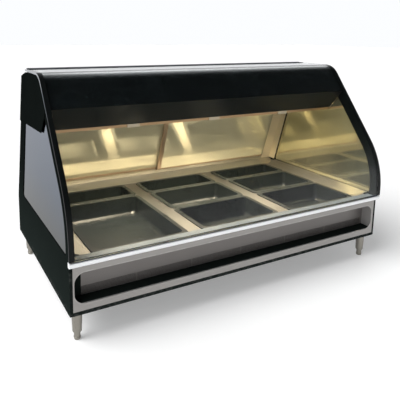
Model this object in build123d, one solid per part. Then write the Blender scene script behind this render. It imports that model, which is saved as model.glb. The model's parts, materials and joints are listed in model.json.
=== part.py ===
from build123d import *
import math
import os

# Heated display case: a low heated base on four legs, a deck with three columns of pans,
# end panels with glazed windows, a lamp canopy, a curved lift-up front glass hinged on
# the top, and two sliding mirror doors at the rear.
# Working frame of this file: X = 0 on the centre line, +X to the right seen from the
# front, Y = 0 on the face of the front fascia, +Y to the rear, Z = 0 under the feet.
# The written parts are shifted by -Y_MID, so their origin is the centre of the footprint.

os.makedirs("parts", exist_ok=True)

# ------------------------------------------------------------------ driving dimensions
WIDTH = 1219.0          # over the front glass, the rail and the canopy end caps
HW = WIDTH / 2
Z_BODY = 91.0           # underside of the base tray
Z_RAIL0, Z_RAIL1 = 238.0, 254.0
Y_RAIL = -14.0          # front of the bullnose rail
Z_TOP = 735.0           # top face of the front glass
Y_REAR = 662.0          # vertical rear face
Z_KINK = 235.0          # where the rear face starts to lean forward
REAR_TOP = (507.0, 709.0)
KNOB_Y1 = 686.0         # outer face of the thermostat knob
Y_MID = (Y_RAIL + KNOB_Y1) / 2

T_SHEET = 1.5
XP_OUT = 606.5          # outer face of the end panels
XP_IN = 597.0           # inner face of the end panels
T_GLASS = 6.0
GLASS_Y0 = -13.5        # outer face of the vertical foot of the front glass
GLASS_Z0 = 256.5        # lower edge of the front glass
ARC1_C, ARC1_R = (286.5, 280.0), 300.0      # lower bend of the front glass
ARC2_C, ARC2_R = (295.7, 660.0), 75.0       # upper bend
SLOPE = (0.6115, 0.7912)                    # direction of the straight slope (Y, Z)
NORM = (-0.7912, 0.6115)                    # its outward normal
GLASS_Y1 = 443.5        # rear edge of the front glass
HINGE_Y, HINGE_Z = 452.0, 733.0
PIN_R, KNUCKLE_R, RUN = 2.5, 5.0, 0.05
KNUCKLES = (-390.0, -45.0, 300.0)           # centres of the moving hinge knuckles
KNUCKLE_L = 60.0

DECK_Z = 243.0
PAN_X = (-368.0, 0.0, 368.0)
PAN_W = 320.0
PAN_RIM_Z = 246.3
PAN_DEPTH = 65.0
PAN_Y = (36.0, 240.0, 429.0, 566.0)         # fronts and backs of the pan rows
WELL_Y = (47.0, 555.0)

RECESS_X0, RECESS_X1, RECESS_Z0, RECESS_Z1, RECESS_R = -593.0, 588.0, 123.0, 215.0, 33.0
VENT_Z1 = 154.0         # upper edge of the vent panel
RECESS_Y = 43.0

LIP_Y, LIP_Z = 256.0, 559.0                 # lower front corner of the canopy hood
HOOD_NOSE = (191.0, 634.0)                  # where the hood meets the back of the glass
LAMP_X = (-301.0, 21.0, 343.0)

LEG_X, LEG_Y = 577.0, (34.0, 626.0)

# ------------------------------------------------------------------ helpers


def shift(p):
    return (p[0], p[1] - Y_MID, p[2])


def box(x0, x1, y0, y1, z0, z1):
    b = Box(x1 - x0, y1 - y0, z1 - z0, align=(Align.MIN, Align.MIN, Align.MIN))
    return b.moved(Location(shift((x0, y0, z0))))


def rod(p, axis, r, length, r2=None):
    """Cylinder, or cone when r2 is given, from p along axis."""
    pl = Plane(origin=shift(p), z_dir=axis)
    if r2 is None:
        c = Cylinder(r, length, align=(Align.CENTER, Align.CENTER, Align.MIN))
    else:
        c = Cone(r, r2, length, align=(Align.CENTER, Align.CENTER, Align.MIN))
    return c.moved(pl.location)


def wire(segs):
    """Closed wire of 3-D points: two points make a line, three an arc."""
    es = []
    for s in segs:
        p = [Vector(*shift(q)) for q in s]
        if (p[0] - p[-1]).length < 1e-6:
            continue
        es.append(Edge.make_line(p[0], p[1]) if len(p) == 2 else Edge.make_three_point_arc(*p))
    return Wire(es)


def push(segs, direction):
    return Solid.extrude(Face(wire(segs)), Vector(*direction))


def prism_x(segs2, x0, x1):
    """Closed outline of (y, z) segments, extruded along X."""
    return push([[(x0, q[0], q[1]) for q in s] for s in segs2], (x1 - x0, 0, 0))


def closed(pts):
    return [[pts[i], pts[(i + 1) % len(pts)]] for i in range(len(pts))]


def poly_x(pts, x0, x1):
    return prism_x(closed(pts), x0, x1)


def poly_y(pts, y0, y1):
    """Closed outline of (x, z) points, extruded along Y."""
    return push([[(q[0], y0, q[1]) for q in s] for s in closed(pts)], (0, y1 - y0, 0))


def meet(p, d, q, e):
    """Meeting point of the lines p + t d and q + u e."""
    det = d[0] * -e[1] + e[0] * d[1]
    t = ((q[0] - p[0]) * -e[1] + e[0] * (q[1] - p[1])) / det
    return (p[0] + t * d[0], p[1] + t * d[1])


def offset_line(pts, t):
    """Open polyline moved by t to its left, with mitred corners."""
    out, n = [], len(pts)
    dirs = []
    for i in range(n - 1):
        dx, dy = pts[i + 1][0] - pts[i][0], pts[i + 1][1] - pts[i][1]
        m = math.hypot(dx, dy)
        dirs.append((dx / m, dy / m))
    for i in range(n):
        if i == 0 or i == n - 1:
            d = dirs[0] if i == 0 else dirs[-1]
            out.append((pts[i][0] - d[1] * t, pts[i][1] + d[0] * t))
        else:
            d, e = dirs[i - 1], dirs[i]
            p = (pts[i][0] - d[1] * t, pts[i][1] + d[0] * t)
            q = (pts[i][0] - e[1] * t, pts[i][1] + e[0] * t)
            out.append(meet(p, d, q, e))
    return out


def sheet_x(pts, t, x0, x1):
    """Folded sheet along X: polyline of (y, z), thickness t to the right of travel."""
    return poly_x(list(pts) + list(reversed(offset_line(pts, -t))), x0, x1)


def sheet_y(pts, t, y0, y1):
    return poly_y(list(pts) + list(reversed(offset_line(pts, -t))), y0, y1)


K45 = math.sqrt(0.5)


def rr_segs(a0, a1, b0, b1, r):
    """Rounded rectangle in two coordinates a, b."""
    k = r * (1 - K45)
    return [
        [(a0 + r, b0), (a1 - r, b0)], [(a1 - r, b0), (a1 - k, b0 + k), (a1, b0 + r)],
        [(a1, b0 + r), (a1, b1 - r)], [(a1, b1 - r), (a1 - k, b1 - k), (a1 - r, b1)],
        [(a1 - r, b1), (a0 + r, b1)], [(a0 + r, b1), (a0 + k, b1 - k), (a0, b1 - r)],
        [(a0, b1 - r), (a0, b0 + r)], [(a0, b0 + r), (a0 + k, b0 + k), (a0 + r, b0)],
    ]


def rr_y(x0, x1, z0, z1, r, y0, y1):
    """Rounded rectangle in XZ, extruded along Y."""
    return push([[(q[0], y0, q[1]) for q in s] for s in rr_segs(x0, x1, z0, z1, r)], (0, y1 - y0, 0))


def rr_z(x0, x1, y0, y1, r, z0, z1):
    """Rounded rectangle in XY, extruded along Z."""
    return push([[(q[0], q[1], z0) for q in s] for s in rr_segs(x0, x1, y0, y1, r)], (0, 0, z1 - z0))


def rr_wire_z(x0, x1, y0, y1, r, z):
    return wire([[(q[0], q[1], z) for q in s] for s in rr_segs(x0, x1, y0, y1, r)])


# Leaning rear plane: s runs up the slope from the kink, d runs inwards at right angles.
_dy, _dz = REAR_TOP[0] - Y_REAR, REAR_TOP[1] - Z_KINK
_m = math.hypot(_dy, _dz)
US = (_dy / _m, _dz / _m)
UD = (-US[1], US[0])


def P(s, d):
    return (Y_REAR + s * US[0] + d * UD[0], Z_KINK + s * US[1] + d * UD[1])


LEDGE_S = 34.0          # level of the platform under the doors, along the slope
S0, S1 = 39.5, 360.0    # lower and upper edges of the doors, along the slope
DOOR_D = (8.2, 21.4)    # outer faces of the left and the right door, inwards from the rear plane


def slab(s0, s1, d0, d1, x0, x1):
    return poly_x([P(s0, d0), P(s1, d0), P(s1, d1), P(s0, d1)], x0, x1)


def glass_path(d, z0=GLASS_Z0, y1=GLASS_Y1):
    """Front glass outline moved inwards by d, from the lower edge to the rear edge."""
    c1, r1, c2, r2 = ARC1_C, ARC1_R - d, ARC2_C, ARC2_R - d
    a = (GLASS_Y0 + d, z0)
    b = (GLASS_Y0 + d, ARC1_C[1])
    c = (c1[0] + r1 * NORM[0], c1[1] + r1 * NORM[1])
    e = (c2[0] + r2 * NORM[0], c2[1] + r2 * NORM[1])
    f = (c2[0], c2[1] + r2)
    g = (y1, Z_TOP - d)
    th = math.atan2(NORM[1], NORM[0])
    m1 = (math.pi + th) / 2
    m2 = (math.pi / 2 + th) / 2
    bm = (c1[0] + r1 * math.cos(m1), c1[1] + r1 * math.sin(m1))
    em = (c2[0] + r2 * math.cos(m2), c2[1] + r2 * math.sin(m2))
    return [[a, b], [b, bm, c], [c, e], [e, em, f], [f, g]]


def back(segs):
    return [list(reversed(s)) for s in reversed(segs)]


def band(outer, inner, x0, x1):
    """Strip between two open paths of segments, extruded along X."""
    return prism_x(outer + [[outer[-1][-1], inner[-1][-1]]] + back(inner) + [[inner[0][0], outer[0][0]]], x0, x1)


NODES = {}


def add(name, *solids):
    """Collects the solids of one named piece."""
    flat = []
    for s in solids:
        flat += list(s.solids())
    NODES[name] = flat


def both(shape):
    """A piece and its mirror twin on the other side of X = 0."""
    return [shape, shape.mirror(Plane.YZ)]


# ------------------------------------------------------------------ base
tray = box(-XP_IN, XP_IN, 0, Y_REAR - 1.5, Z_BODY, 102.0) - box(-XP_IN + 1.5, XP_IN - 1.5, 1.5, Y_REAR - 3.0, Z_BODY + 1.5, 103.0)
for sx in (-1, 1):
    for ly in LEG_Y:
        tray -= rod((sx * LEG_X, ly, Z_BODY - 1), (0, 0, 1), 5.2, 5)
RP_SCREW_X = (-560.0, -190.0, 190.0, 560.0)
for x in RP_SCREW_X:
    tray -= rod((x, Y_REAR - 5, 97.0), (0, 1, 0), 2.6, 6)
# ventilation slots in the tray floor
for x in range(-450, 451, 150):
    for y in (200, 330, 460):
        tray -= box(x - 45, x + 45, y - 2.5, y + 2.5, Z_BODY - 1, Z_BODY + 3)
add("base_tray", tray)

# flat front plate with a long opening, rounded at its corners
fascia = box(-XP_IN, XP_IN, 0, 1.5, 102.0, Z_RAIL0) - rr_y(RECESS_X0, RECESS_X1, RECESS_Z0, RECESS_Z1, RECESS_R, -1, 3)
add("front_fascia", fascia)

# square sleeve behind the plate: the walls of the recess
sleeve = box(RECESS_X0, RECESS_X1, 1.5, RECESS_Y + 3.0, RECESS_Z0, RECESS_Z1) - box(
    RECESS_X0 + 1.2, RECESS_X1 - 1.2, 1.0, RECESS_Y + 4.0, RECESS_Z0 + 1.2, RECESS_Z1 - 1.2)
add("recess_sleeve", sleeve)

# black floor of the recess, turned up as the end plate on the left
floor = box(RECESS_X0 + 1.2, RECESS_X1 - 1.2, 2.5, RECESS_Y, RECESS_Z0 + 1.2, RECESS_Z0 + 2.4)
floor = floor + box(RECESS_X0 + 1.2, RECESS_X0 + 32.0, 2.5, RECESS_Y, RECESS_Z0 + 1.2, RECESS_Z1 - 1.2)
floor = floor - box(RECESS_X0 + 3.4, RECESS_X0 + 33.0, 0, RECESS_Y - 1.2, RECESS_Z0 + 2.4, RECESS_Z1)
add("recess_floor", floor)

add("recess_back_panel", box(RECESS_X0 + 1.2, RECESS_X1 - 1.2, RECESS_Y, RECESS_Y + 1.2, VENT_Z1, RECESS_Z1 - 1.2))
vent = box(RECESS_X0 + 1.2, RECESS_X1 - 1.2, RECESS_Y, RECESS_Y + 1.2, RECESS_Z0 + 1.2, VENT_Z1)
slots = []
for i in range(7):
    z = 127.4 + i * 3.6
    for k in range(6):
        x = -579.0 + k * 193.0
        slots.append(box(x, x + 190.0, RECESS_Y - 1, RECESS_Y + 3, z, z + 1.7))
vent = vent - slots
add("vent_panel", vent)

rail = poly_x([(0, Z_RAIL0), (0, Z_RAIL1), (-9.5, Z_RAIL1), (-12.6, Z_RAIL1 - 1.2), (-14, Z_RAIL1 - 4.2),
               (-14, Z_RAIL0 + 4.2), (-12.6, Z_RAIL0 + 1.2), (-9.5, Z_RAIL0)], -HW, HW)
add("bullnose_rail", rail)

sill = sheet_x([(0.2, Z_RAIL0 + 0.2), (0.2, 250.5), (34.5, 250.5), (34.5, DECK_Z + 0.2)], 1.5, -XP_IN, XP_IN)
add("front_sill", sill)

seal = poly_x([(-13.3, Z_RAIL1), (-5.2, Z_RAIL1), (-5.2, Z_RAIL1 + 3.6), (-7.0, Z_RAIL1 + 3.6), (-7.0, Z_RAIL1 + 1.6), (-13.3, Z_RAIL1 + 1.6)], -XP_IN + 0.5, XP_IN - 0.5)
add("glass_seal", seal)

# legs: tapered tubes with a threaded stud on top and a bore for the adjustable foot
legs, plates = [], []
for sx in (-1, 1):
    for ly in LEG_Y:
        p = (sx * LEG_X, ly, 24.0)
        leg = rod(p, (0, 0, 1), 12.6, 3.0, 13.6) + rod((p[0], ly, 27.0), (0, 0, 1), 13.6, Z_BODY - 27.0, 16.0)
        leg = leg + rod((p[0], ly, Z_BODY), (0, 0, 1), 5.0, 12.0)
        leg = leg - rod((p[0], ly, 20.0), (0, 0, 1), 6.0 + RUN, 58.0)
        legs.append(leg)
        x0 = -XP_IN + 2.0 if sx < 0 else LEG_X - 30
        x1 = -LEG_X + 30 if sx < 0 else XP_IN - 2.0
        y0, y1 = (3.0, 70.0) if ly < 100 else (590.0, Y_REAR - 5.0)
        plates.append(box(x0, x1, y0, y1, Z_BODY + 1.5, Z_BODY + 5.5) - rod((p[0], ly, 80.0), (0, 0, 1), 5.2, 40.0))
add("legs", *legs)
add("leg_plates", *plates)

FEET = {"foot_front_left": (-1, 0), "foot_front_right": (1, 0), "foot_rear_left": (-1, 1), "foot_rear_right": (1, 1)}
for name, (sx, k) in FEET.items():
    x, y = sx * LEG_X, LEG_Y[k]
    foot = rod((x, y, 0), (0, 0, 1), 8.4, 2.0, 9.4) + rod((x, y, 2.0), (0, 0, 1), 9.4, 4.0)
    foot = foot + rod((x, y, 6.0), (0, 0, 1), 10.2, 2.6) + rod((x, y, 8.6), (0, 0, 1), 9.4, 14.9)
    foot = foot + rod((x, y, 23.5), (0, 0, 1), 6.0, 36.5)
    add(name, foot)

# ------------------------------------------------------------------ end panels
GP = glass_path(8.0, z0=254.5)


def end_outline():
    g = [list(s) for s in GP[:-1]]
    top = g[-1][-1]
    return g + [[top, (446.0, Z_TOP - 10.5)], [(446.0, Z_TOP - 10.5), REAR_TOP], [REAR_TOP, (Y_REAR, Z_KINK)],
                [(Y_REAR, Z_KINK), (Y_REAR, Z_BODY)], [(Y_REAR, Z_BODY), (0.0, Z_BODY)], [(0.0, Z_BODY), (0.0, 254.5)],
                [(0.0, 254.5), g[0][0]]]


WIN_F, WIN_Z0, WIN_Z1, WIN_R = 42.0, 257.0, 606.0, 9.0
R0 = (574.6, 264.0)
RE = (-81.0, 280.0)


def window(grow):
    """Window outline, moved outwards by grow."""
    c1, r1 = ARC1_C, ARC1_R - WIN_F + grow
    m = math.hypot(*RE)
    nrm = (RE[1] / m, -RE[0] / m)
    base = (R0[0] + nrm[0] * grow, R0[1] + nrm[1] * grow)
    z0, z1 = WIN_Z0 - grow, WIN_Z1 + grow
    low_rear = meet(base, RE, (0, z0), (1, 0))
    top_rear = meet(base, RE, (0, z1), (1, 0))
    a0 = math.asin((z0 - c1[1]) / r1)
    start = (c1[0] - r1 * math.cos(a0), z0)
    end = (c1[0] + r1 * NORM[0], c1[1] + r1 * NORM[1])
    th0 = math.pi - a0
    th1 = math.atan2(NORM[1], NORM[0])
    am = (th0 + th1) / 2
    mid = (c1[0] + r1 * math.cos(am), c1[1] + r1 * math.sin(am))
    top_front = meet(end, SLOPE, (0, z1), (1, 0))
    # rounded rear lower corner
    r = WIN_R + grow
    e = (RE[0] / m, RE[1] / m)
    t = r / math.tan(math.acos(-e[0]) / 2)
    c_a = (low_rear[0] - t, z0)
    c_b = (low_rear[0] + e[0] * t, low_rear[1] + e[1] * t)
    cc = (c_a[0], z0 + r)
    mdir = ((c_a[0] + c_b[0]) / 2 - cc[0], (c_a[1] + c_b[1]) / 2 - cc[1])
    mm = math.hypot(*mdir)
    cm = (cc[0] + mdir[0] / mm * r, cc[1] + mdir[1] / mm * r)
    return [[start, mid, end], [end, top_front], [top_front, top_rear], [top_rear, c_b], [c_b, cm, c_a], [c_a, start]]


panel = prism_x(end_outline(), XP_IN, XP_OUT) - prism_x(window(0.0), XP_IN - 1, XP_OUT + 1)
pane = prism_x(window(0.0), XP_IN + 3.0, XP_IN + 7.0)
capo = [list(s) for s in glass_path(8.0)[2:-1]]
start = meet(capo[0][0], SLOPE, HOOD_NOSE, (LIP_Y - HOOD_NOSE[0], LIP_Z - HOOD_NOSE[1]))
capo[0][0] = start
cap_low = (254.0, 556.0)
cap_rear = meet((Y_REAR, Z_KINK), US, (0, 545.0), (1, 0))
cap_segs = capo + [[capo[-1][-1], (446.0, Z_TOP - 10.5)], [(446.0, Z_TOP - 10.5), REAR_TOP], [REAR_TOP, cap_rear],
                   [cap_rear, cap_low], [cap_low, start]]
cap = prism_x(cap_segs, XP_OUT, HW)
for side, sgn in (("right", 1), ("left", -1)):
    a, b = (panel, pane) if sgn > 0 else (panel.mirror(Plane.YZ), pane.mirror(Plane.YZ))
    add("end_panel_" + side, a)
    add("end_glass_" + side, b)
add("canopy_end_caps", cap, cap.mirror(Plane.YZ))

# ------------------------------------------------------------------ deck and heated well
deck = box(-XP_IN, XP_IN, 1.9, 590.0, DECK_Z - 1.5, DECK_Z)
for x in PAN_X:
    deck -= rr_z(x - 149, x + 149, WELL_Y[0], WELL_Y[1], 16.0, DECK_Z - 3, DECK_Z + 2)
add("deck_plate", deck)

ledge = sheet_y([(531.0, DECK_Z + 1.6), (556.0, DECK_Z + 1.6), (577.0, 256.4), (XP_IN, 256.4)], 1.5, 35.5, 571.0)
add("side_ledges", *both(ledge))

LX, LY0, LY1, LZ0 = 562.0, 46.4, 600.0, 168.0
liner = box(-LX, LX, LY0, LY1, LZ0, DECK_Z - 1.5) - box(-LX + 1, LX - 1, LY0 + 1, LY1 - 1, LZ0 + 1.2, DECK_Z)
add("well_liner", liner)

# serpentine of heating cable under the liner
cz = LZ0 - 3.2
xs, rows = 520.0, [90.0 + 62.0 * i for i in range(8)]
pts, s = [], -1
for i, y in enumerate(rows):
    pts += [(s * xs, y, cz), (-s * xs, y, cz)]
    s = -s
path = FilletPolyline(*[Vector(*shift(p)) for p in pts], radius=26.0)
prof = Plane(origin=Vector(*shift(pts[0])), z_dir=(1, 0, 0)) * Circle(2.6)
cable = sweep(prof, path=path)
add("heating_cable", cable)
print("heating cable length mm", round(path.length), "volume over section x length", round(cable.volume / (math.pi * 2.6 ** 2 * path.length), 4))

add("insulation", box(-555, 555, 50.0, 590.0, 112.0, LZ0 - 6.6))

# ------------------------------------------------------------------ rear lower structure
rledge = sheet_x([(573.0, DECK_Z + 1.6), (577.0, DECK_Z + 1.6), P(LEDGE_S, 33.2), P(LEDGE_S, 1.5), (Y_REAR - 1.5, Z_KINK - 0.6), (Y_REAR - 1.5, 214.0)],
                 1.5, -XP_IN, XP_IN)
for x in RP_SCREW_X:
    rledge -= rod((x, Y_REAR - 5, 224.0), (0, 1, 0), 2.6, 6)
add("rear_ledge", rledge)

CP_X0, CP_X1, CP_Z0, CP_Z1 = 180.0, 480.0, 116.0, 212.0
KNOB = (400.0, 164.0)
SWITCH = (250.0, 164.0)
LENS = (320.0, 164.0)
GLAND = (-470.0, 140.0)
rpanel = box(-XP_IN, XP_IN, Y_REAR - 1.5, Y_REAR, 92.0, Z_KINK - 0.8)
rpanel -= box(CP_X0 + 12, CP_X1 - 12, Y_REAR - 3, Y_REAR + 2, CP_Z0 + 12, CP_Z1 - 12)
rpanel -= rod((GLAND[0], Y_REAR - 5, GLAND[1]), (0, 1, 0), 10.2, 10)
for x in RP_SCREW_X:
    for z in (97.0, 224.0):
        rpanel -= rod((x, Y_REAR - 5, z), (0, 1, 0), 2.6, 10)
for i in range(12):
    x = -330 + i * 32.0
    rpanel -= rr_y(x, x + 20, 150, 190, 2.4, Y_REAR - 3, Y_REAR + 2)
add("rear_base_panel", rpanel)

cp = rr_y(CP_X0, CP_X1, CP_Z0, CP_Z1, 6.0, Y_REAR, Y_REAR + 1.5)
cp -= rod((KNOB[0], Y_REAR - 1, KNOB[1]), (0, 1, 0), 4.2, 5)
cp -= box(SWITCH[0] - 11, SWITCH[0] + 11, Y_REAR - 1, Y_REAR + 3, SWITCH[1] - 14.5, SWITCH[1] + 14.5)
cp -= rod((LENS[0], Y_REAR - 1, LENS[1]), (0, 1, 0), 5.1, 5)
add("control_panel", cp)

screws = []
for x in RP_SCREW_X:
    for z in (97.0, 224.0):
        screws.append(rod((x, Y_REAR, z), (0, 1, 0), 4.6, 1.0) + rod((x, Y_REAR + 1.0, z), (0, 1, 0), 4.6, 1.4, 2.6) + rod((x, Y_REAR - 4.2, z), (0, 1, 0), 2.4, 4.2))
for x in (CP_X0 + 7, CP_X1 - 7):
    for z in (CP_Z0 + 7, CP_Z1 - 7):
        screws.append(rod((x, Y_REAR + 1.5, z), (0, 1, 0), 3.2, 0.8) + rod((x, Y_REAR + 2.3, z), (0, 1, 0), 3.2, 1.0, 1.8))
add("rear_panel_screws", *screws)

add("indicator_lens", rod((LENS[0], Y_REAR - 7, LENS[1]), (0, 1, 0), 5.0, 8.5) + rod((LENS[0], Y_REAR + 1.5, LENS[1]), (0, 1, 0), 7.0, 2.0)
    + rod((LENS[0], Y_REAR + 3.5, LENS[1]), (0, 1, 0), 5.2, 2.6, 3.2))

# rocker switch: bezel with its cavity, and the rocker turning about X
bz = rr_y(SWITCH[0] - 14, SWITCH[0] + 14, SWITCH[1] - 18, SWITCH[1] + 18, 3.0, Y_REAR + 1.5, Y_REAR + 4.0)
bz = bz + box(SWITCH[0] - 10.8, SWITCH[0] + 10.8, Y_REAR - 22, Y_REAR + 1.5, SWITCH[1] - 14.2, SWITCH[1] + 14.2)
bz -= box(SWITCH[0] - 9, SWITCH[0] + 9, Y_REAR - 14, Y_REAR + 6, SWITCH[1] - 12.6, SWITCH[1] + 12.6)
add("switch_bezel", bz)
SW_AX = (Y_REAR - 2.0, SWITCH[1])
a = math.radians(9.0)


def rot_yz(p, c, ang):
    y, z = p[0] - c[0], p[1] - c[1]
    return (c[0] + y * math.cos(ang) - z * math.sin(ang), c[1] + y * math.sin(ang) + z * math.cos(ang))


rk = [(SW_AX[0] - 4, SW_AX[1] - 9.0), (SW_AX[0] + 7.0, SW_AX[1] - 11.2), (SW_AX[0] + 4.6, SW_AX[1]), (SW_AX[0] + 7.0, SW_AX[1] + 11.2), (SW_AX[0] - 4, SW_AX[1] + 9.0)]
rk = [rot_yz(p, SW_AX, a) for p in rk]
add("power_rocker", poly_x(rk, SWITCH[0] - 8.6, SWITCH[0] + 8.6))

# thermostat body with its shaft, and the knob
th = box(KNOB[0] - 22, KNOB[0] + 22, Y_REAR - 42, Y_REAR - 1.6, KNOB[1] - 22, KNOB[1] + 22) + rod((KNOB[0], Y_REAR - 1.6, KNOB[1]), (0, 1, 0), 4.0, 3.6)
th = th + rod((KNOB[0], Y_REAR + 2.0, KNOB[1]), (0, 1, 0), 3.0, 15.0)
add("thermostat_body", th)
kb = rod((KNOB[0], Y_REAR + 2.4, KNOB[1]), (0, 1, 0), 21.0, 4.0) + rod((KNOB[0], Y_REAR + 6.4, KNOB[1]), (0, 1, 0), 17.5, KNOB_Y1 - Y_REAR - 6.4, 15.5)
kb = kb - rod((KNOB[0], Y_REAR + 2.0, KNOB[1]), (0, 1, 0), 3.0 + RUN, 15.6)
kb = kb + box(KNOB[0] - 2.4, KNOB[0] + 2.4, Y_REAR + 6.0, KNOB_Y1, KNOB[1] + 12.0, KNOB[1] + 20.0)
add("thermostat_knob", kb)

gl = rod((GLAND[0], Y_REAR - 9, GLAND[1]), (0, 1, 0), 10.0, 9.0) + rod((GLAND[0], Y_REAR - 7, GLAND[1]), (0, 1, 0), 14.0, 5.4)
hexa = [(GLAND[0] + 14.5 * math.cos(math.radians(60 * i)), GLAND[1] + 14.5 * math.sin(math.radians(60 * i))) for i in range(6)]
gl = gl + poly_y(hexa, Y_REAR, Y_REAR + 8.0) + rod((GLAND[0], Y_REAR + 8.0, GLAND[1]), (0, 1, 0), 12.0, 12.0, 9.0)
gl = gl - rod((GLAND[0], Y_REAR - 12, GLAND[1]), (0, 1, 0), 5.0, 40.0)
add("cable_gland", gl)

# ------------------------------------------------------------------ rear frame and doors
track_b = slab(LEDGE_S, LEDGE_S + 3.0, 4.8, 32.8, -XP_IN, XP_IN)
track_t = slab(362.5, 365.0, 4.8, 32.8, -XP_IN, XP_IN)
for d in (4.8, 18.0, 31.2):
    track_b = track_b + slab(LEDGE_S + 2.5, LEDGE_S + 13.5, d, d + 1.6, -XP_IN, XP_IN)
    track_t = track_t + slab(349.0, 363.0, d, d + 1.6, -XP_IN, XP_IN)
add("door_track_bottom", track_b)
add("door_track_top", track_t)
post = slab(LEDGE_S + 1.0, 352.0, 33.2, 34.7, 548.0, XP_IN)
# return leg along the end panel, up to the rear edge of the end window
leg_pts = [P(36.6, 34.6), P(342.0, 34.6), (R0[0] + 3.0 + RE[0] / RE[1] * (542.0 - R0[1]), 542.0),
           (R0[0] + 3.0 + RE[0] / RE[1] * (259.0 - R0[1]), 259.0)]
post = post + prism_x([[a, b] for a, b in zip(leg_pts, leg_pts[1:] + leg_pts[:1])], XP_IN - 1.5, XP_IN)
add("rear_posts", *both(post))

STILE = 18.0
RAIL_LOW = 12.0         # height of the doors' lower rail


def door(x0, x1, d0, pull_right):
    """Frame ring with a pull ridge on its outer stile, and the pane inside it."""
    ring = slab(S0, S1, d0, d0 + 8.0, x0, x1) - slab(S0 + RAIL_LOW, S1 - STILE, d0 - 1, d0 + 9.0, x0 + STILE, x1 - STILE)
    px = x1 - 12.0 if pull_right else x0 + 4.0
    ring = ring + slab(S0 + 95, S0 + 215, d0 - 3.4, d0 + 0.5, px, px + 8.0)
    pane_ = slab(S0 + RAIL_LOW, S1 - STILE, d0 + 3.0, d0 + 7.0, x0 + STILE, x1 - STILE)
    return ring, pane_


f_l, p_l = door(-585.0, 12.0, DOOR_D[0], False)
f_r, p_r = door(-26.0, 585.0, DOOR_D[1], True)
add("door_frame_left", f_l)
add("door_glass_left", p_l)
add("door_frame_right", f_r)
add("door_glass_right", p_r)

# ------------------------------------------------------------------ canopy


def hood_path(o):
    e = (HOOD_NOSE[0] - LIP_Y, HOOD_NOSE[1] - LIP_Z)
    m = math.hypot(*e)
    e = (e[0] / m, e[1] / m)
    inn = (e[1], -e[0])
    p = (LIP_Y + inn[0] * o, LIP_Z + inn[1] * o)
    gp = glass_path(8.0 + o)
    lip = meet(p, e, (0, LIP_Z + o), (1, 0))
    nose = meet(p, e, gp[2][0], SLOPE)
    top0 = gp[3][2]
    t1 = (425.0, Z_TOP - 10.5 - o)
    t2 = (464.0, Z_TOP - 10.5 - o)
    rear_a = P(0.0, 1.0 + o)
    r_top = meet(rear_a, US, (464.0, Z_TOP - 10.5 - o), (REAR_TOP[0] - 464.0, REAR_TOP[1] - (Z_TOP - 10.5)))
    r_low = P(367.0 + o, 1.0 + o)
    r_in = P(367.0 + o, 30.0)
    return [[(268.0, LIP_Z + o), lip], [lip, nose], [nose, gp[2][1]], gp[3], [top0, t1], [t1, t2], [t2, r_top], [r_top, r_low], [r_low, r_in]]


hood = band(hood_path(0.0), hood_path(1.5), -XP_IN + 0.3, XP_IN - 0.3)
add("canopy_hood", hood)

# reflector tray: its front wall shows as a thin strip under the hood's lip
RF = P(366.0, 33.3)
refl = sheet_x([(LIP_Y + 4.0, LIP_Z - 0.2), (LIP_Y + 4.0, LIP_Z - 10.0), (RF[0] - 2.0, LIP_Z - 10.0), (RF[0] - 2.0, LIP_Z + 6.0)],
               -1.2, -XP_IN + 0.3, XP_IN - 0.3)
LENS_W, LENS_Y0, LENS_Y1 = 250.0, 300.0, 372.0
lenses, clips, tubes, sockets = [], [], [], []
for x in LAMP_X:
    refl -= box(x - LENS_W / 2, x + LENS_W / 2, LENS_Y0, LENS_Y1, LIP_Z - 14, LIP_Z + 2)
    lenses.append(box(x - LENS_W / 2, x + LENS_W / 2, LENS_Y0, LENS_Y1, LIP_Z - 10.0, LIP_Z - 6.0))
    clips.append(box(x - 22.5, x + 22.5, LIP_Y + 1.6, LIP_Y + 2.8 + 1.2, LIP_Z - 12.0, LIP_Z - 1.0)
                 + box(x - 22.5, x + 22.5, LIP_Y + 1.6, LENS_Y0 - 2.0, LIP_Z - 12.0, LIP_Z - 10.0))
    tubes.append(rod((x - 105, 336.0, LIP_Z + 12.0), (1, 0, 0), 7.0, 210.0) + rod((x - 112, 336.0, LIP_Z + 12.0), (1, 0, 0), 4.0, 224.0))
    for sg in (-1, 1):
        xa, xb = sorted((x + sg * 106.0, x + sg * 118.0))
        sockets.append(box(xa, xb, 326.0, 346.0, LIP_Z - 5.9, LIP_Z + 22.0) - rod((x - 112.5, 336.0, LIP_Z + 12.0), (1, 0, 0), 4.1, 225.0))
add("canopy_reflector", refl)
add("lamp_lenses", *lenses)
add("lamp_clips", *clips)
add("lamp_tubes", *tubes)
add("lamp_sockets", *sockets)

# ------------------------------------------------------------------ hinge strip and front glass
hr = box(-600, 600, 458.0, 463.9, Z_TOP - 10.4, 737.0)
pin = rod((-600.0, HINGE_Y, HINGE_Z), (1, 0, 0), PIN_R, 1200.0)
edges = [-600.0]
for kx in KNUCKLES:
    edges += [kx - KNUCKLE_L / 2 - 0.5, kx + KNUCKLE_L / 2 + 0.5]
edges += [600.0]
for i in range(0, len(edges), 2):
    x0, x1 = edges[i], edges[i + 1]
    hr = hr + (rod((x0, HINGE_Y, HINGE_Z), (1, 0, 0), KNUCKLE_R, x1 - x0) + box(x0, x1, HINGE_Y + 3.4, 459.0, HINGE_Z - 3.0, HINGE_Z + 3.0)
               - rod((x0 - 1, HINGE_Y, HINGE_Z), (1, 0, 0), PIN_R + RUN, x1 - x0 + 2))
add("hinge_rail", hr)
add("hinge_pin", pin)

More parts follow.
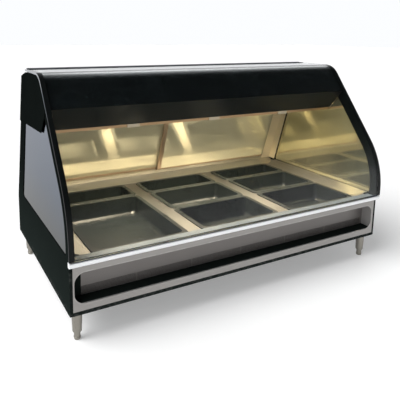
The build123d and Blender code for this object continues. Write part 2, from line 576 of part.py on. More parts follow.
leaf = poly_x([(424.0, Z_TOP + 0.1), (443.6, Z_TOP + 0.1), (443.6, Z_TOP - 6.1), (424.0, Z_TOP - 6.1), (424.0, Z_TOP - 7.6), (445.4, Z_TOP - 7.6),
               (445.4, Z_TOP + 1.6), (424.0, Z_TOP + 1.6)], -600.0, 600.0)
for kx in KNUCKLES:
    x0, x1 = kx - KNUCKLE_L / 2, kx + KNUCKLE_L / 2
    leaf = leaf + (rod((x0, HINGE_Y, HINGE_Z), (1, 0, 0), KNUCKLE_R, x1 - x0) + box(x0, x1, 445.0, HINGE_Y - 3.4, HINGE_Z - 3.0, HINGE_Z + 3.0)
                   - rod((x0 - 1, HINGE_Y, HINGE_Z), (1, 0, 0), PIN_R + RUN, x1 - x0 + 2))
add("glass_hinge_leaf", leaf)

fg = band(glass_path(0.0), glass_path(T_GLASS), -HW, HW)
add("front_glass", fg)

# ------------------------------------------------------------------ pans


def pan(xc, y0, y1):
    x0, x1 = xc - PAN_W / 2, xc + PAN_W / 2
    y0, y1 = y0 + 0.3, y1 - 0.3
    zr = PAN_RIM_Z
    rim = rr_z(x0, x1, y0, y1, 20.0, zr - 3.0, zr)
    rim = fillet(rim.edges().group_by(Axis.Z)[-1], 1.2) - rr_z(x0 + 1.3, x1 - 1.3, y0 + 1.3, y1 - 1.3, 18.7, zr - 4.0, zr - 1.3)
    ins = 14.0

    def sections(extra, z_top, z_bot):
        out = []
        fr = 16.0 - extra
        levels = [(0.0, z_top), (3.4, z_bot + fr)]
        for k in (30, 60, 90):
            t = math.radians(k)
            levels.append((3.4 + fr * (1 - math.cos(t)), z_bot + fr * (1 - math.sin(t))))
        for g, z in levels:
            q = ins + extra + g
            out.append(rr_wire_z(x0 + q, x1 - q, y0 + q, y1 - q, 14.0, z))
        return out

    outer = Solid.make_loft(sections(0.0, zr - 1.3, zr - PAN_DEPTH), True)
    inner = Solid.make_loft(sections(1.2, zr - 1.3, zr - PAN_DEPTH + 1.2), True)
    plug = rr_z(x0 + ins + 1.2, x1 - ins - 1.2, y0 + ins + 1.2, y1 - ins - 1.2, 14.0, zr - 1.3, zr + 1)
    return (rim - plug) + (outer - inner)


PANS = {
    "pan_left_front": (0, 0, 2), "pan_left_rear": (0, 2, 3),
    "pan_middle_front": (1, 0, 1), "pan_middle_centre": (1, 1, 2), "pan_middle_rear": (1, 2, 3),
    "pan_right_front": (2, 0, 1), "pan_right_centre": (2, 1, 2), "pan_right_rear": (2, 2, 3),
}
for name, (c, r0, r1) in PANS.items():
    add(name, pan(PAN_X[c], PAN_Y[r0], PAN_Y[r1]))

# ------------------------------------------------------------------ write the pieces
lo, hi = [1e9] * 3, [-1e9] * 3
for name, solids in NODES.items():
    shape = Compound(children=solids) if len(solids) > 1 else solids[0]
    shape.label = name
    export_step(shape, f"parts/{name}.step")
    bb = shape.bounding_box()
    lo = [min(a, b) for a, b in zip(lo, (bb.min.X, bb.min.Y, bb.min.Z))]
    hi = [max(a, b) for a, b in zip(hi, (bb.max.X, bb.max.Y, bb.max.Z))]
print(len(NODES), "nodes; box", [round(v, 2) for v in lo], [round(v, 2) for v in hi])
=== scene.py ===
import bpy
import bmesh
import json
import math
from mathutils import Matrix, Vector

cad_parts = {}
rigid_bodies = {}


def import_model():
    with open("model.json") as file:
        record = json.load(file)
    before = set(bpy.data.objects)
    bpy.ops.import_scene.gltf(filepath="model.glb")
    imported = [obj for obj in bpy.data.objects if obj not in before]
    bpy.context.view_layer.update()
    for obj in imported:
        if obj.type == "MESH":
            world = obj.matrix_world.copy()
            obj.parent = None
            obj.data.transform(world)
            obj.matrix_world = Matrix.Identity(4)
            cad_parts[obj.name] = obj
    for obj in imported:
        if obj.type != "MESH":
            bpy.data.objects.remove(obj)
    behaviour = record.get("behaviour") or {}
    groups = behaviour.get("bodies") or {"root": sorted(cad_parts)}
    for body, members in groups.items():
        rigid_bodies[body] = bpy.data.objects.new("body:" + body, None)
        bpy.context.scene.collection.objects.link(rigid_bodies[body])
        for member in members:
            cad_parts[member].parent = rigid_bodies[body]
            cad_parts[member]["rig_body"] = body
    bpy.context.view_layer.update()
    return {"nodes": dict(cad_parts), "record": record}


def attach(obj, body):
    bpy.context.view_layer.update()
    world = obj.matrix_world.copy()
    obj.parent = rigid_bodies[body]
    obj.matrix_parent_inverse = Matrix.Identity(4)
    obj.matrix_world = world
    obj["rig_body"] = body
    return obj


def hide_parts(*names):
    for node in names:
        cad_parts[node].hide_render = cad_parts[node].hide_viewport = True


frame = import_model()
NODES = frame["nodes"]

# ------------------------------------------------------------------ node helpers


class Mat:
    """A material with a Principled shader and short calls for its procedural nodes."""

    def __init__(self, name, **base):
        self.mat = bpy.data.materials.new(name)
        self.mat.use_nodes = True
        self.nt = self.mat.node_tree
        self.nt.nodes.clear()
        self.out = self.nt.nodes.new("ShaderNodeOutputMaterial")
        self.p = self.nt.nodes.new("ShaderNodeBsdfPrincipled")
        self.nt.links.new(self.p.outputs[0], self.out.inputs[0])
        self.set(**base)
        self._obj = None

    def set(self, color=None, rough=None, metal=None, ior=None, spec=None, coat=None, coat_rough=None, trans=None, emit=None, emit_s=None, sheen=None):
        p = self.p.inputs
        if color is not None:
            p["Base Color"].default_value = (*color, 1.0)
        if rough is not None:
            p["Roughness"].default_value = rough
        if metal is not None:
            p["Metallic"].default_value = metal
        if ior is not None:
            p["IOR"].default_value = ior
        if spec is not None:
            p["Specular IOR Level"].default_value = spec
        if coat is not None:
            p["Coat Weight"].default_value = coat
        if coat_rough is not None:
            p["Coat Roughness"].default_value = coat_rough
        if trans is not None:
            p["Transmission Weight"].default_value = trans
        if emit is not None:
            p["Emission Color"].default_value = (*emit, 1.0)
        if emit_s is not None:
            p["Emission Strength"].default_value = emit_s
        if sheen is not None:
            p["Sheen Weight"].default_value = sheen
        return self

    def new(self, kind, **values):
        n = self.nt.nodes.new(kind)
        for k, v in values.items():
            setattr(n, k, v)
        return n

    def link(self, a, b):
        self.nt.links.new(a, b)

    def obj(self):
        if self._obj is None:
            self._obj = self.new("ShaderNodeTexCoord").outputs["Object"]
        return self._obj

    def scaled(self, scale, loc=(0, 0, 0), rot=(0, 0, 0), vec=None):
        m = self.new("ShaderNodeMapping")
        m.inputs["Scale"].default_value = scale
        m.inputs["Location"].default_value = loc
        m.inputs["Rotation"].default_value = rot
        self.link(vec or self.obj(), m.inputs["Vector"])
        return m.outputs[0]

    def noise(self, scale, detail=3.0, rough=0.55, vec=None, distort=0.0):
        n = self.new("ShaderNodeTexNoise")
        n.inputs["Scale"].default_value = scale
        n.inputs["Detail"].default_value = detail
        n.inputs["Roughness"].default_value = rough
        n.inputs["Distortion"].default_value = distort
        self.link(vec or self.obj(), n.inputs["Vector"])
        return n.outputs["Fac"]

    def voronoi(self, scale, vec=None, feature="F1", output="Distance", random=1.0):
        n = self.new("ShaderNodeTexVoronoi", feature=feature)
        n.inputs["Scale"].default_value = scale
        n.inputs["Randomness"].default_value = random
        self.link(vec or self.obj(), n.inputs["Vector"])
        return n.outputs[output]

    def wave(self, scale, axis="X", vec=None, distort=0.0, detail=0.0, profile="SIN"):
        n = self.new("ShaderNodeTexWave", bands_direction=axis, wave_profile=profile)
        n.inputs["Scale"].default_value = scale
        n.inputs["Distortion"].default_value = distort
        n.inputs["Detail"].default_value = detail
        self.link(vec or self.obj(), n.inputs["Vector"])
        return n.outputs["Fac"]

    def ramp(self, fac, stops, interp="LINEAR"):
        n = self.new("ShaderNodeValToRGB")
        n.color_ramp.interpolation = interp
        els = n.color_ramp.elements
        while len(els) < len(stops):
            els.new(0.5)
        for e, (pos, col) in zip(els, stops):
            e.position = pos
            e.color = (*col, 1.0) if len(col) == 3 else col
        self.link(fac, n.inputs["Fac"])
        return n.outputs["Color"]

    def remap(self, value, a, b, c, d, clamp=True):
        n = self.new("ShaderNodeMapRange", clamp=clamp)
        for i, v in enumerate((a, b, c, d)):
            n.inputs[1 + i].default_value = v
        self.link(value, n.inputs[0])
        return n.outputs[0]

    def math(self, op, a, b=None, c=None, clamp=False):
        n = self.new("ShaderNodeMath", operation=op, use_clamp=clamp)
        for i, v in enumerate((a, b, c)):
            if v is None:
                continue
            if isinstance(v, (int, float)):
                n.inputs[i].default_value = v
            else:
                self.link(v, n.inputs[i])
        return n.outputs[0]

    def axis(self, which):
        n = self.new("ShaderNodeSeparateXYZ")
        self.link(self.obj(), n.inputs[0])
        return n.outputs["XYZ".index(which)]

    def mixcol(self, fac, a, b, blend="MIX"):
        n = self.new("ShaderNodeMix", data_type="RGBA", blend_type=blend)
        for sock, v in ((n.inputs[0], fac), (n.inputs[6], a), (n.inputs[7], b)):
            if isinstance(v, (int, float)):
                sock.default_value = v
            elif isinstance(v, tuple):
                sock.default_value = (*v, 1.0) if len(v) == 3 else v
            else:
                self.link(v, sock)
        return n.outputs[2]

    def color(self, sock):
        self.link(sock, self.p.inputs["Base Color"])
        return self

    def rough(self, sock):
        self.link(sock, self.p.inputs["Roughness"])
        return self

    def bump(self, height, strength=0.2, distance=0.0005, normal=None, invert=False):
        n = self.new("ShaderNodeBump", invert=invert)
        n.inputs["Strength"].default_value = strength
        n.inputs["Distance"].default_value = distance
        self.link(height, n.inputs["Height"])
        if normal is not None:
            self.link(normal, n.inputs["Normal"])
        self.link(n.outputs[0], self.p.inputs["Normal"])
        return n.outputs[0]

    def shader_mix(self, fac, a, b):
        n = self.new("ShaderNodeMixShader")
        if isinstance(fac, (int, float)):
            n.inputs[0].default_value = fac
        else:
            self.link(fac, n.inputs[0])
        self.link(a, n.inputs[1])
        self.link(b, n.inputs[2])
        return n.outputs[0]


def tone(c, k):
    return tuple(min(1.0, x * k) for x in c)


def brushed(name, color, along="X", rough=(0.26, 0.42), grain=0.10, bump=0.12, metal=1.0, fine=900.0, long=6.0, stain=0.06, spec=None):
    """Long-grain brushed metal: noise stretched along one axis drives colour, roughness and bump."""
    m = Mat(name, color=color, metal=metal, spec=spec)
    s = {"X": (long, fine, fine), "Y": (fine, long, fine), "Z": (fine, fine, long)}[along]
    s2 = tuple(v * 0.31 for v in s)
    g1 = m.noise(1.0, 2.0, 0.6, m.scaled(s))
    g2 = m.noise(1.0, 2.0, 0.6, m.scaled(s2, loc=(3.1, 1.7, 0.4)))
    g = m.math("ADD", m.math("MULTIPLY", g1, 0.6), m.math("MULTIPLY", g2, 0.4))
    cloud = m.noise(5.0, 4.0, 0.6, m.scaled((1, 1, 1), loc=(7.3, 2.2, 5.1)))
    c1 = m.ramp(g, [(0.30, tone(color, 1 - grain)), (0.70, tone(color, 1 + grain))])
    c2 = m.mixcol(m.remap(cloud, 0.35, 0.75, 0.0, stain), c1, tone(color, 0.55))
    m.color(c2)
    r = m.math("ADD", m.remap(g, 0.25, 0.75, rough[0], rough[1]), m.remap(cloud, 0.3, 0.8, -0.02, 0.06))
    m.rough(r)
    m.bump(g, bump, 0.00012)
    return m


def coated(name, color, rough=(0.30, 0.42), peel=700.0, bump=0.10, spec=0.5, scuff=0.0, low=None, coat=0.0, dust=0.10):
    """Painted or powder-coated sheet: orange peel, faint unevenness and a little dust or wear low down."""
    m = Mat(name, color=color, spec=spec)
    if coat:
        m.set(coat=coat, coat_rough=0.06)
    peel_n = m.noise(peel, 2.0, 0.5)
    cloud = m.noise(4.0, 4.0, 0.6)
    fine = m.noise(1800.0, 1.0, 0.5)
    c = m.ramp(cloud, [(0.3, tone(color, 0.85)), (0.7, tone(color, 1.18))])
    c = m.mixcol(m.remap(fine, 0.62, 0.80, 0.0, dust), c, tuple(x + 0.06 for x in color))
    if scuff:
        z = m.axis("Z")
        edge = m.remap(z, low[0], low[1], 1.0, 0.0)
        sc = m.noise(60.0, 4.0, 0.7, m.scaled((1, 1, 3)))
        mask = m.math("MULTIPLY", edge, m.remap(sc, 0.52, 0.66, 0.0, scuff))
        c = m.mixcol(mask, c, tuple(x + 0.10 for x in color))
    m.color(c)
    m.rough(m.math("ADD", m.remap(cloud, 0.3, 0.75, rough[0], rough[1]), m.remap(fine, 0.4, 0.8, 0.0, 0.05)))
    m.bump(peel_n, bump, 0.00025)
    return m


def moulded(name, color, rough=(0.42, 0.55), grain=1400.0, bump=0.18, spec=0.45):
    m = Mat(name, color=color, spec=spec)
    g = m.voronoi(grain)
    cloud = m.noise(30.0, 3.0, 0.6)
    m.color(m.ramp(cloud, [(0.3, tone(color, 0.85)), (0.75, tone(color, 1.25))]))
    m.rough(m.remap(cloud, 0.3, 0.75, rough[0], rough[1]))
    m.bump(g, bump, 0.00012)
    return m


# ------------------------------------------------------------------ materials
BLACK = (0.0032, 0.0042, 0.0039)
mats = {}
m = coated("black_panel", tone(BLACK, 1.3), rough=(0.24, 0.34), spec=0.0, scuff=0.4, low=(0.093, 0.12))
panel_color = m.p.inputs["Base Color"].links[0].from_socket
# painted light: the black panels are painted lighter towards the bottom
m.color(m.mixcol(m.remap(m.axis("Z"), 0.12, 0.42, 1.0, 0.0), panel_color, (0.0065, 0.0088, 0.0080), blend="ADD"))
# rubbed paint along the front edges of the lower panels
wear_and_highlight = m.math("MULTIPLY", m.remap(m.axis("Y"), -0.3355, -0.3325, 1.0, 0.0), m.remap(m.noise(70.0, 4.0, 0.7), 0.50, 0.68, 0.0, 0.30))
m.color(m.mixcol(wear_and_highlight, m.p.inputs["Base Color"].links[0].from_socket, (0.11, 0.115, 0.11)))
mats["black_panel"] = m.mat
m = coated("black_hood", (0.0022, 0.0030, 0.0032), rough=(0.19, 0.28), peel=500.0, bump=0.03, spec=0.30)
hood_rough = m.p.inputs["Roughness"].links[0].from_socket
under = m.remap(m.axis("Z"), 0.630, 0.634, 1.0, 0.0)
m.rough(m.math("ADD", hood_rough, m.math("MULTIPLY", under, 0.22)))
# painted reflection: the hood's specular is tinted blue, so it mirrors its surroundings bluer than they are
m.p.inputs["Specular Tint"].default_value = (0.70, 0.88, 1.0, 1.0)
mats["black_hood"] = m.mat
mats["deck_steel"] = brushed("deck_steel", (0.27, 0.262, 0.245), along="Y", rough=(0.30, 0.40), grain=0.05, fine=700.0, bump=0.04, stain=0.06).mat
mats["door_bronze"] = brushed("door_bronze", (0.52, 0.385, 0.265), along="Z", rough=(0.30, 0.42), grain=0.05, bump=0.05, metal=0.75).mat
m = brushed("fascia_steel", (0.305, 0.293, 0.282), rough=(0.32, 0.44), grain=0.05, stain=0.05, bump=0.06)
# painted lighter in patches along the edge round the cut-out: distance to its rounded rectangle
rx = m.math("MAXIMUM", m.math("SUBTRACT", m.math("ABSOLUTE", m.math("ADD", m.axis("X"), 0.0025)), 0.5905 - 0.033), 0.0)
rz = m.math("MAXIMUM", m.math("SUBTRACT", m.math("ABSOLUTE", m.math("SUBTRACT", m.axis("Z"), 0.169)), 0.046 - 0.033), 0.0)
dist = m.math("SUBTRACT", m.math("SQRT", m.math("ADD", m.math("MULTIPLY", rx, rx), m.math("MULTIPLY", rz, rz))), 0.033)
lighter_edge_patches = m.math("MULTIPLY", m.remap(dist, 0.0, 0.0045, 1.0, 0.0), m.remap(m.noise(45.0, 4.0, 0.7), 0.42, 0.66, 0.15, 0.65))
m.color(m.mixcol(lighter_edge_patches, m.p.inputs["Base Color"].links[0].from_socket, (0.50, 0.49, 0.475)))
mats["fascia_steel"] = m.mat
mats["liner_steel"] = brushed("liner_steel", (0.46, 0.445, 0.41), rough=(0.34, 0.44), grain=0.04, fine=700.0, bump=0.05, stain=0.04).mat
mats["sill_steel"] = brushed("sill_steel", (0.215, 0.243, 0.268), rough=(0.46, 0.54), grain=0.03, fine=900.0, bump=0.04, metal=0.45).mat
mats["ledge_steel"] = brushed("ledge_steel", (0.33, 0.32, 0.30), along="Y", rough=(0.38, 0.48), grain=0.04, fine=700.0, bump=0.05).mat
mats["post_steel"] = brushed("post_steel", (0.78, 0.69, 0.50), along="Z", rough=(0.28, 0.38), grain=0.04, fine=700.0, bump=0.05, metal=0.5).mat
# painted light: the reflector steel is coloured copper-orange, standing in for the warm lamp light on it
mats["reflector_steel"] = brushed("reflector_steel", (0.42, 0.27, 0.15), rough=(0.34, 0.46), grain=0.05, fine=700.0, bump=0.05).mat
mats["recess_steel"] = brushed("recess_steel", (0.30, 0.288, 0.280), rough=(0.34, 0.46), grain=0.04, bump=0.05, metal=0.25).mat
mats["recess_grey"] = brushed("recess_grey", (0.185, 0.172, 0.164), rough=(0.38, 0.48), grain=0.04, metal=0.5, bump=0.05).mat
mats["rail_aluminium"] = brushed("rail_aluminium", (0.86, 0.87, 0.885), rough=(0.30, 0.42), grain=0.02, fine=1200.0, stain=0.03, metal=0.6, bump=0.04).mat
mats["track_aluminium"] = brushed("track_aluminium", (0.54, 0.51, 0.43), rough=(0.30, 0.42), grain=0.05, bump=0.05).mat
mats["hinge_black"] = coated("hinge_black", (0.012, 0.017, 0.026), rough=(0.30, 0.42), spec=0.35).mat
mats["clip_steel"] = brushed("clip_steel", (0.50, 0.42, 0.31), along="Y", rough=(0.30, 0.40), grain=0.04, bump=0.05).mat
mats["leg_steel"] = brushed("leg_steel", (0.27, 0.255, 0.225), along="Z", rough=(0.24, 0.36), grain=0.05, long=30.0, bump=0.06).mat
mats["zinc"] = brushed("zinc", (0.62, 0.63, 0.64), rough=(0.30, 0.45), grain=0.05).mat
m = coated("pan_black", (0.0095, 0.0125, 0.0118), rough=(0.24, 0.33), peel=60.0, bump=0.004, spec=0.45, dust=0.01)
# pan rims painted lighter along the top: partly rubbed enamel, partly a painted highlight
wear_and_highlight = m.math("MULTIPLY", m.remap(m.axis("Z"), 0.2462, 0.2475, 0.0, 1.0), m.remap(m.noise(90.0, 4.0, 0.7), 0.48, 0.68, 0.0, 0.5))
m.color(m.mixcol(wear_and_highlight, m.p.inputs["Base Color"].links[0].from_socket, (0.075, 0.078, 0.072)))
mats["pan_black"] = m.mat
mats["rubber"] = moulded("rubber", (0.010, 0.018, 0.032), rough=(0.5, 0.65), grain=900.0, bump=0.10, spec=0.35).mat
mats["ceramic"] = moulded("ceramic", (0.80, 0.78, 0.73), rough=(0.35, 0.45), grain=600.0, bump=0.08).mat
mats["cable_sheath"] = moulded("cable_sheath", (0.42, 0.09, 0.05), rough=(0.45, 0.6), grain=1500.0).mat
mats["control_black"] = moulded("control_black", (0.016, 0.016, 0.018), rough=(0.38, 0.50)).mat
mats["control_plate"] = brushed("control_plate", (0.085, 0.085, 0.090), rough=(0.32, 0.44), metal=0.8, grain=0.06).mat

# painted shade: the insulation is coloured near black, standing in for the shade behind the vent slots
m = Mat("insulation", color=(0.16, 0.15, 0.13), rough=0.95, spec=0.1)
m.color(m.ramp(m.noise(160.0, 5.0, 0.7), [(0.3, (0.045, 0.042, 0.038)), (0.7, (0.085, 0.08, 0.072))]))
m.bump(m.noise(420.0, 4.0, 0.7, distort=0.6), 0.7, 0.002)
mats["insulation"] = m.mat

m = Mat("indicator_red", color=(0.55, 0.03, 0.02), rough=0.2, spec=0.6, emit=(1.0, 0.08, 0.03), emit_s=1.2)
m.color(m.ramp(m.noise(300.0, 2.0), [(0.3, (0.45, 0.02, 0.015)), (0.7, (0.65, 0.05, 0.03))]))
m.bump(m.wave(900.0, "X"), 0.25, 0.0003)
mats["indicator_red"] = m.mat

# warm lamp covers: prismatic ribs, brighter over the tube
m = Mat("lamp_lens", color=(0.95, 0.86, 0.66), rough=0.35, emit=(1.0, 0.84, 0.60), emit_s=4.0)
mid = m.remap(m.math("ABSOLUTE", m.axis("Y")), 0.0, 0.036, 1.0, 0.55)
rib = m.wave(260.0, "X")
m.color(m.mixcol(m.remap(rib, 0, 1, 0.0, 0.25), (0.95, 0.86, 0.66), (0.80, 0.70, 0.50)))
m.link(m.math("MULTIPLY", m.remap(rib, 0, 1, 3.2, 4.2), mid), m.p.inputs["Emission Strength"])
m.bump(rib, 0.35, 0.0006)
mats["lamp_lens"] = m.mat
m = Mat("lamp_tube", color=(0.95, 0.90, 0.80), rough=0.3, emit=(1.0, 0.84, 0.60), emit_s=6.0)
m.color(m.ramp(m.noise(90.0), [(0.3, (0.90, 0.84, 0.72)), (0.7, (0.98, 0.94, 0.86))]))
m.bump(m.noise(220.0, 2.0, 0.5), 0.06, 0.0002)
m.mat.cycles.emission_sampling = "NONE"  # hidden above the covers
mats["lamp_tube"] = m.mat

# sliding door panes: reflective, with a faint veil of grease and steam
m = Mat("door_mirror", color=(0.62, 0.62, 0.50), metal=1.0)
veil = m.noise(9.0, 5.0, 0.62, m.scaled((1, 1, 1.6)))
spots = m.noise(140.0, 2.0, 0.5)
sep = m.new("ShaderNodeSeparateXYZ")
m.link(m.new("ShaderNodeNewGeometry").outputs["Normal"], sep.inputs[0])
inward = m.remap(sep.outputs[1], -0.5, 0.5, 1.0, 0.0)
lit = m.ramp(veil, [(0.3, (0.75, 0.71, 0.51)), (0.75, (0.68, 0.645, 0.46))])
out = m.ramp(veil, [(0.3, (0.17, 0.185, 0.20)), (0.75, (0.25, 0.265, 0.28))])
m.color(m.mixcol(inward, out, lit))
m.link(m.math("SUBTRACT", 1.0, m.math("MULTIPLY", inward, m.remap(veil, 0.3, 0.8, 0.64, 0.76))), m.p.inputs["Metallic"])
lean = m.bump(m.math("MULTIPLY", inward, m.axis("Z")), 1.0, 0.148)
m.bump(spots, 0.04, 0.0001, normal=lean)
m.rough(m.math("ADD", m.remap(veil, 0.3, 0.8, 0.03, 0.09), m.remap(spots, 0.55, 0.75, 0.0, 0.03)))
mats["door_mirror"] = m.mat

# end glass: reflective film, darker and bluer from outside than from inside
m = Mat("end_glass", color=(0.40, 0.43, 0.48), metal=1.0)
m.p.inputs["Specular Tint"].default_value = (0.6, 0.6, 0.6, 1.0)
ax = m.math("ABSOLUTE", m.axis("X"))
outer = m.remap(ax, 0.6015, 0.6025, 0.0, 1.0)
veil = m.noise(7.0, 4.0, 0.6)
inside = m.ramp(veil, [(0.3, (0.66, 0.61, 0.40)), (0.75, (0.58, 0.54, 0.35))])
# painted reflection: the outside is painted darker low down and paler and bluer towards the top
painted_reflection_ramp = m.ramp(m.remap(m.axis("Z"), 0.25, 0.60, 0.0, 1.0), [(0.0, (0.100, 0.104, 0.098)), (0.45, (0.158, 0.188, 0.243)), (1.0, (0.262, 0.298, 0.372))])
outside = m.mixcol(m.remap(veil, 0.3, 0.8, 0.0, 0.12), painted_reflection_ramp, (0.24, 0.25, 0.27))
m.color(m.mixcol(outer, inside, outside))
m.link(m.math("SUBTRACT", 1.0, m.math("MULTIPLY", m.math("SUBTRACT", 1.0, outer), m.remap(veil, 0.3, 0.8, 0.10, 0.18))), m.p.inputs["Metallic"])
m.bump(m.noise(140.0, 2.0, 0.5), 0.04, 0.0001)
m.rough(m.remap(veil, 0.3, 0.8, 0.04, 0.10))
mats["end_glass"] = m.mat

# front glass: clear, with black printed side borders, and its cut edge painted pale near the top as a painted highlight
m = Mat("clear_glass", color=(0.97, 0.985, 0.98), rough=0.0, ior=1.25, trans=1.0)
lp = m.new("ShaderNodeLightPath")
tr = m.new("ShaderNodeBsdfTransparent")
tr.inputs[0].default_value = (0.93, 0.95, 0.94, 1.0)
clear = m.shader_mix(lp.outputs["Is Shadow Ray"], m.p.outputs[0], tr.outputs[0])
ax = m.math("ABSOLUTE", m.axis("X"))
border = m.remap(ax, 0.5940, 0.5945, 0.0, 1.0)
bl = m.new("ShaderNodeBsdfPrincipled")
bl.inputs["Roughness"].default_value = 0.10
bl.inputs["Specular IOR Level"].default_value = 0.12
ink = m.ramp(m.noise(900.0, 2.0), [(0.3, (0.003, 0.004, 0.004)), (0.7, (0.007, 0.008, 0.008))])
m.link(ink, bl.inputs["Base Color"])
edge = m.new("ShaderNodeBsdfPrincipled")
edge.inputs["Roughness"].default_value = 0.35
edge.inputs["Specular IOR Level"].default_value = 0.03
# painted highlight: the cut edge is painted near black low down and pale towards the top
edge_highlight_ramp = m.ramp(m.remap(m.axis("Z"), 0.50, 0.735, 0.0, 1.0), [(0.0, (0.004, 0.005, 0.006)), (0.40, (0.008, 0.011, 0.014)), (0.75, (0.08, 0.095, 0.11)), (1.0, (0.30, 0.31, 0.32))])
m.link(edge_highlight_ramp, edge.inputs["Base Color"])
is_edge = m.remap(ax, 0.60930, 0.60940, 0.0, 1.0)
inked = m.shader_mix(is_edge, bl.outputs[0], edge.outputs[0])
m.link(m.shader_mix(border, clear, inked), m.out.inputs[0])
mats["clear_glass"] = m.mat

slot_of = {s["node"]: s["material_slot"] for s in frame["record"]["subparts"]}
for name, o in NODES.items():
    mat = mats[slot_of[name]]
    if not o.material_slots:
        o.data.materials.append(mat)
    for s in o.material_slots:
        s.material = mat

# ------------------------------------------------------------------ edges broken by a small radius


def refine(node, width, segments=2, angle=32.0):
    """A copy of a CAD node with its sharp edges rounded, shown in the node's place."""
    src = NODES[node]
    me = bpy.data.meshes.new(node + "_shape")
    bm = bmesh.new()
    bm.from_mesh(src.data)
    bmesh.ops.remove_doubles(bm, verts=bm.verts, dist=2e-6)
    bmesh.ops.dissolve_limit(bm, angle_limit=math.radians(0.6), verts=bm.verts, edges=bm.edges)
    for f in bm.faces:
        f.smooth = True
    bm.to_mesh(me)
    bm.free()
    ob = bpy.data.objects.new(node + "_shape", me)
    bpy.context.scene.collection.objects.link(ob)
    bev = ob.modifiers.new("edge", "BEVEL")
    bev.width = width
    bev.segments = segments
    bev.limit_method = "ANGLE"
    bev.angle_limit = math.radians(angle)
    bev.use_clamp_overlap = True
    bev.harden_normals = False
    wn = ob.modifiers.new("normals", "WEIGHTED_NORMAL")
    wn.mode = "FACE_AREA"
    wn.weight = 80
    wn.keep_sharp = False
    dg = bpy.context.evaluated_depsgraph_get()
    done = bpy.data.meshes.new_from_object(ob.evaluated_get(dg))
    ob.modifiers.clear()
    ob.data = done
    ob.data.materials.clear()
    ob.data.materials.append(mats[slot_of[node]])
    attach(ob, src["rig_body"])
    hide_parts(node)
    return ob


REFINE = {
    "end_panel_left": 0.0012, "end_panel_right": 0.0012, "canopy_end_caps": 0.0007, "bullnose_rail": 0.0014,
    "front_fascia": 0.0004, "front_sill": 0.0005, "side_ledges": 0.0005, "deck_plate": 0.0004, "rear_ledge": 0.0005,
    "base_tray": 0.0005, "rear_base_panel": 0.0004, "control_panel": 0.0004, "rear_posts": 0.0005,
    "door_frame_left": 0.0006, "door_frame_right": 0.0006, "door_track_bottom": 0.0004, "door_track_top": 0.0004,
    "legs": 0.0006, "thermostat_knob": 0.0006, "power_rocker": 0.0006, "switch_bezel": 0.0006,
    "cable_gland": 0.0004, "hinge_rail": 0.0004, "glass_hinge_leaf": 0.0004, "recess_floor": 0.0003, "lamp_clips": 0.0003,
    "leg_plates": 0.0005, "thermostat_body": 0.0006, "recess_sleeve": 0.0003, "vent_panel": 0.0002,
}
for body in ("front_left", "front_right", "rear_left", "rear_right"):
    REFINE["foot_" + body] = 0.0006
for node, w in REFINE.items():
    if node in NODES:
        refine(node, w)

# ------------------------------------------------------------------ stage, lights, camera


def area(name, loc, target, size, energy, color=(1, 1, 1), spread=180.0):
    d = bpy.data.lights.new(name, "AREA")
    d.shape = "RECTANGLE"
    d.size, d.size_y = size
    d.energy = energy
    d.color = color
    d.spread = math.radians(spread)
    o = bpy.data.objects.new(name, d)
    bpy.context.scene.collection.objects.link(o)
    o.location = loc
    o.rotation_mode = "QUATERNION"
    o.rotation_quaternion = (Vector(target) - Vector(loc)).to_track_quat("-Z", "Y")
    return o


def stage_floor():
    me = bpy.data.meshes.new("floor")
    bm = bmesh.new()
    bmesh.ops.create_grid(bm, x_segments=24, y_segments=24, size=30.0)
    bm.to_mesh(me)
    bm.free()
    o = bpy.data.objects.new("floor", me)
    bpy.context.scene.collection.objects.link(o)
    m = Mat("floor_pale", color=(0.76, 0.76, 0.76), rough=0.65, spec=0.15, emit=(1.0, 1.0, 1.0), emit_s=0.28)
    m.color(m.ramp(m.noise(2.0, 3.0), [(0.3, (0.75, 0.75, 0.75)), (0.7, (0.77, 0.77, 0.77))]))
    m.mat.cycles.emission_sampling = "NONE"
    me.materials.append(m.mat)
    o.location = (0, 0, -0.0005)
    return o


stage_floor()

world = bpy.data.worlds.new("studio")
bpy.context.scene.world = world
world.use_nodes = True
wn = world.node_tree
wn.nodes.clear()


def wnode(kind, **values):
    n = wn.nodes.new(kind)
    for k, v in values.items():
        setattr(n, k, v)
    return n


def wmap(value, a, b, c, d):
    n = wnode("ShaderNodeMapRange", interpolation_type="SMOOTHSTEP")
    for i, v in enumerate((a, b, c, d)):
        n.inputs[1 + i].default_value = v
    wn.links.new(value, n.inputs[0])
    return n.outputs[0]


def wmath(op, a, b):
    n = wnode("ShaderNodeMath", operation=op)
    for i, v in enumerate((a, b)):
        if isinstance(v, (int, float)):
            n.inputs[i].default_value = v
        else:
            wn.links.new(v, n.inputs[i])
    return n.outputs[0]


# a pale studio: bright at the horizon, behind and on the left, with a dark ceiling towards the front right
wo = wnode("ShaderNodeOutputWorld")
bg = wnode("ShaderNodeBackground")
tc = wnode("ShaderNodeTexCoord")
sp = wnode("ShaderNodeSeparateXYZ")
wn.links.new(tc.outputs["Generated"], sp.inputs[0])
dx, dy, dz = sp.outputs
rim = wmath("MULTIPLY", wmap(dz, 0.075, 0.16, 1.0, 0.0), 0.48)
low = wmath("MULTIPLY", wmap(dz, 0.10, 0.62, 1.0, 0.0), 0.50)
left = wmath("MULTIPLY", wmap(dx, -0.25, -0.65, 0.0, 1.0), 0.45)
# a soft panel high up behind on the right, which the curved top of the canopy mirrors
panel = wmath("MULTIPLY", wmap(dy, 0.10, 0.80, 0.0, 1.0), wmap(dx, 0.10, 0.40, 0.0, 1.0))
panel = wmath("MULTIPLY", panel, wmap(dz, 0.22, 0.45, 0.0, 1.0))
level = wmath("ADD", wmath("ADD", rim, low), wmath("ADD", left, 0.022))
level = wmath("ADD", level, panel)
bg.inputs[0].default_value = (0.97, 0.985, 1.0, 1)
wn.links.new(level, bg.inputs[1])
wn.links.new(bg.outputs[0], wo.inputs[0])



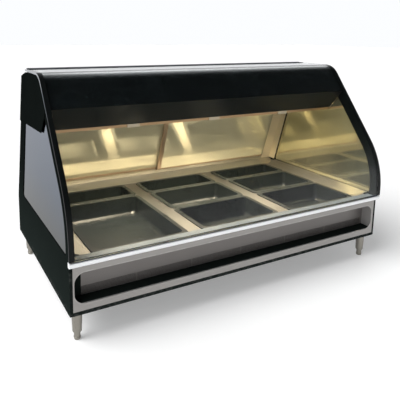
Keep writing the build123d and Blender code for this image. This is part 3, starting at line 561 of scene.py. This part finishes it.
def sun(name, towards, strength, angle, color=(1, 1, 1)):
    """A very soft, even light from the direction "towards"."""
    d = bpy.data.lights.new(name, "SUN")
    d.energy = strength
    d.angle = math.radians(angle)
    d.color = color
    o = bpy.data.objects.new(name, d)
    bpy.context.scene.collection.objects.link(o)
    o.rotation_mode = "QUATERNION"
    o.rotation_quaternion = (-Vector(towards)).to_track_quat("-Z", "Y")
    return o


sun("overhead", (-0.60, 0.05, 0.80), 3.0, 46.0)
area("softbox_left", (-3.6, -2.2, 2.2), (0, -0.2, 0.3), (1.8, 1.8), 24.0, (1.0, 1.0, 1.0))

LAMP_X = (-0.301, 0.021, 0.343)
for i, x in enumerate(LAMP_X):
    area("lamp_%d" % i, (x, 0.0, 0.5465), (x, 0.0, 0.0), (0.24, 0.066), 2.7, (1.0, 0.84, 0.60), 115.0)

cam_data = bpy.data.cameras.new("camera")
cam = bpy.data.objects.new("camera", cam_data)
bpy.context.scene.collection.objects.link(cam)
bpy.context.scene.camera = cam

# camera solved from the photograph's edges, in mm in a frame whose Y = 0 is the fascia
CAM = dict(C=(-942.2, -1160.8, 857.8), az=28.286, el=9.653, roll=0.671, F=475.58, pp=(166.0, 114.0))


def place_camera(c):
    az, el, ro = (math.radians(c[k]) for k in ("az", "el", "roll"))
    f = Vector((math.sin(az) * math.cos(el), math.cos(az) * math.cos(el), -math.sin(el)))
    r = f.cross(Vector((0, 0, 1))).normalized()
    u = r.cross(f)
    r2 = math.cos(ro) * r + math.sin(ro) * u
    u2 = -math.sin(ro) * r + math.cos(ro) * u
    rot = Matrix((r2, u2, -f)).transposed()
    loc = Vector((c["C"][0], c["C"][1] - 336.0, c["C"][2])) / 1000.0
    cam.matrix_world = Matrix.Translation(loc) @ rot.to_4x4()
    cam_data.sensor_fit = "AUTO"
    cam_data.sensor_width = 36.0
    cam_data.lens = 36.0 * c["F"] / 400.0
    cam_data.shift_x = (200.0 - c["pp"][0]) / 400.0
    cam_data.shift_y = (c["pp"][1] - 200.0) / 400.0
    cam_data.clip_start, cam_data.clip_end = 0.05, 100.0


place_camera(CAM)
bpy.context.scene.view_settings.view_transform = "Standard"
bpy.context.scene.view_settings.look = "None"
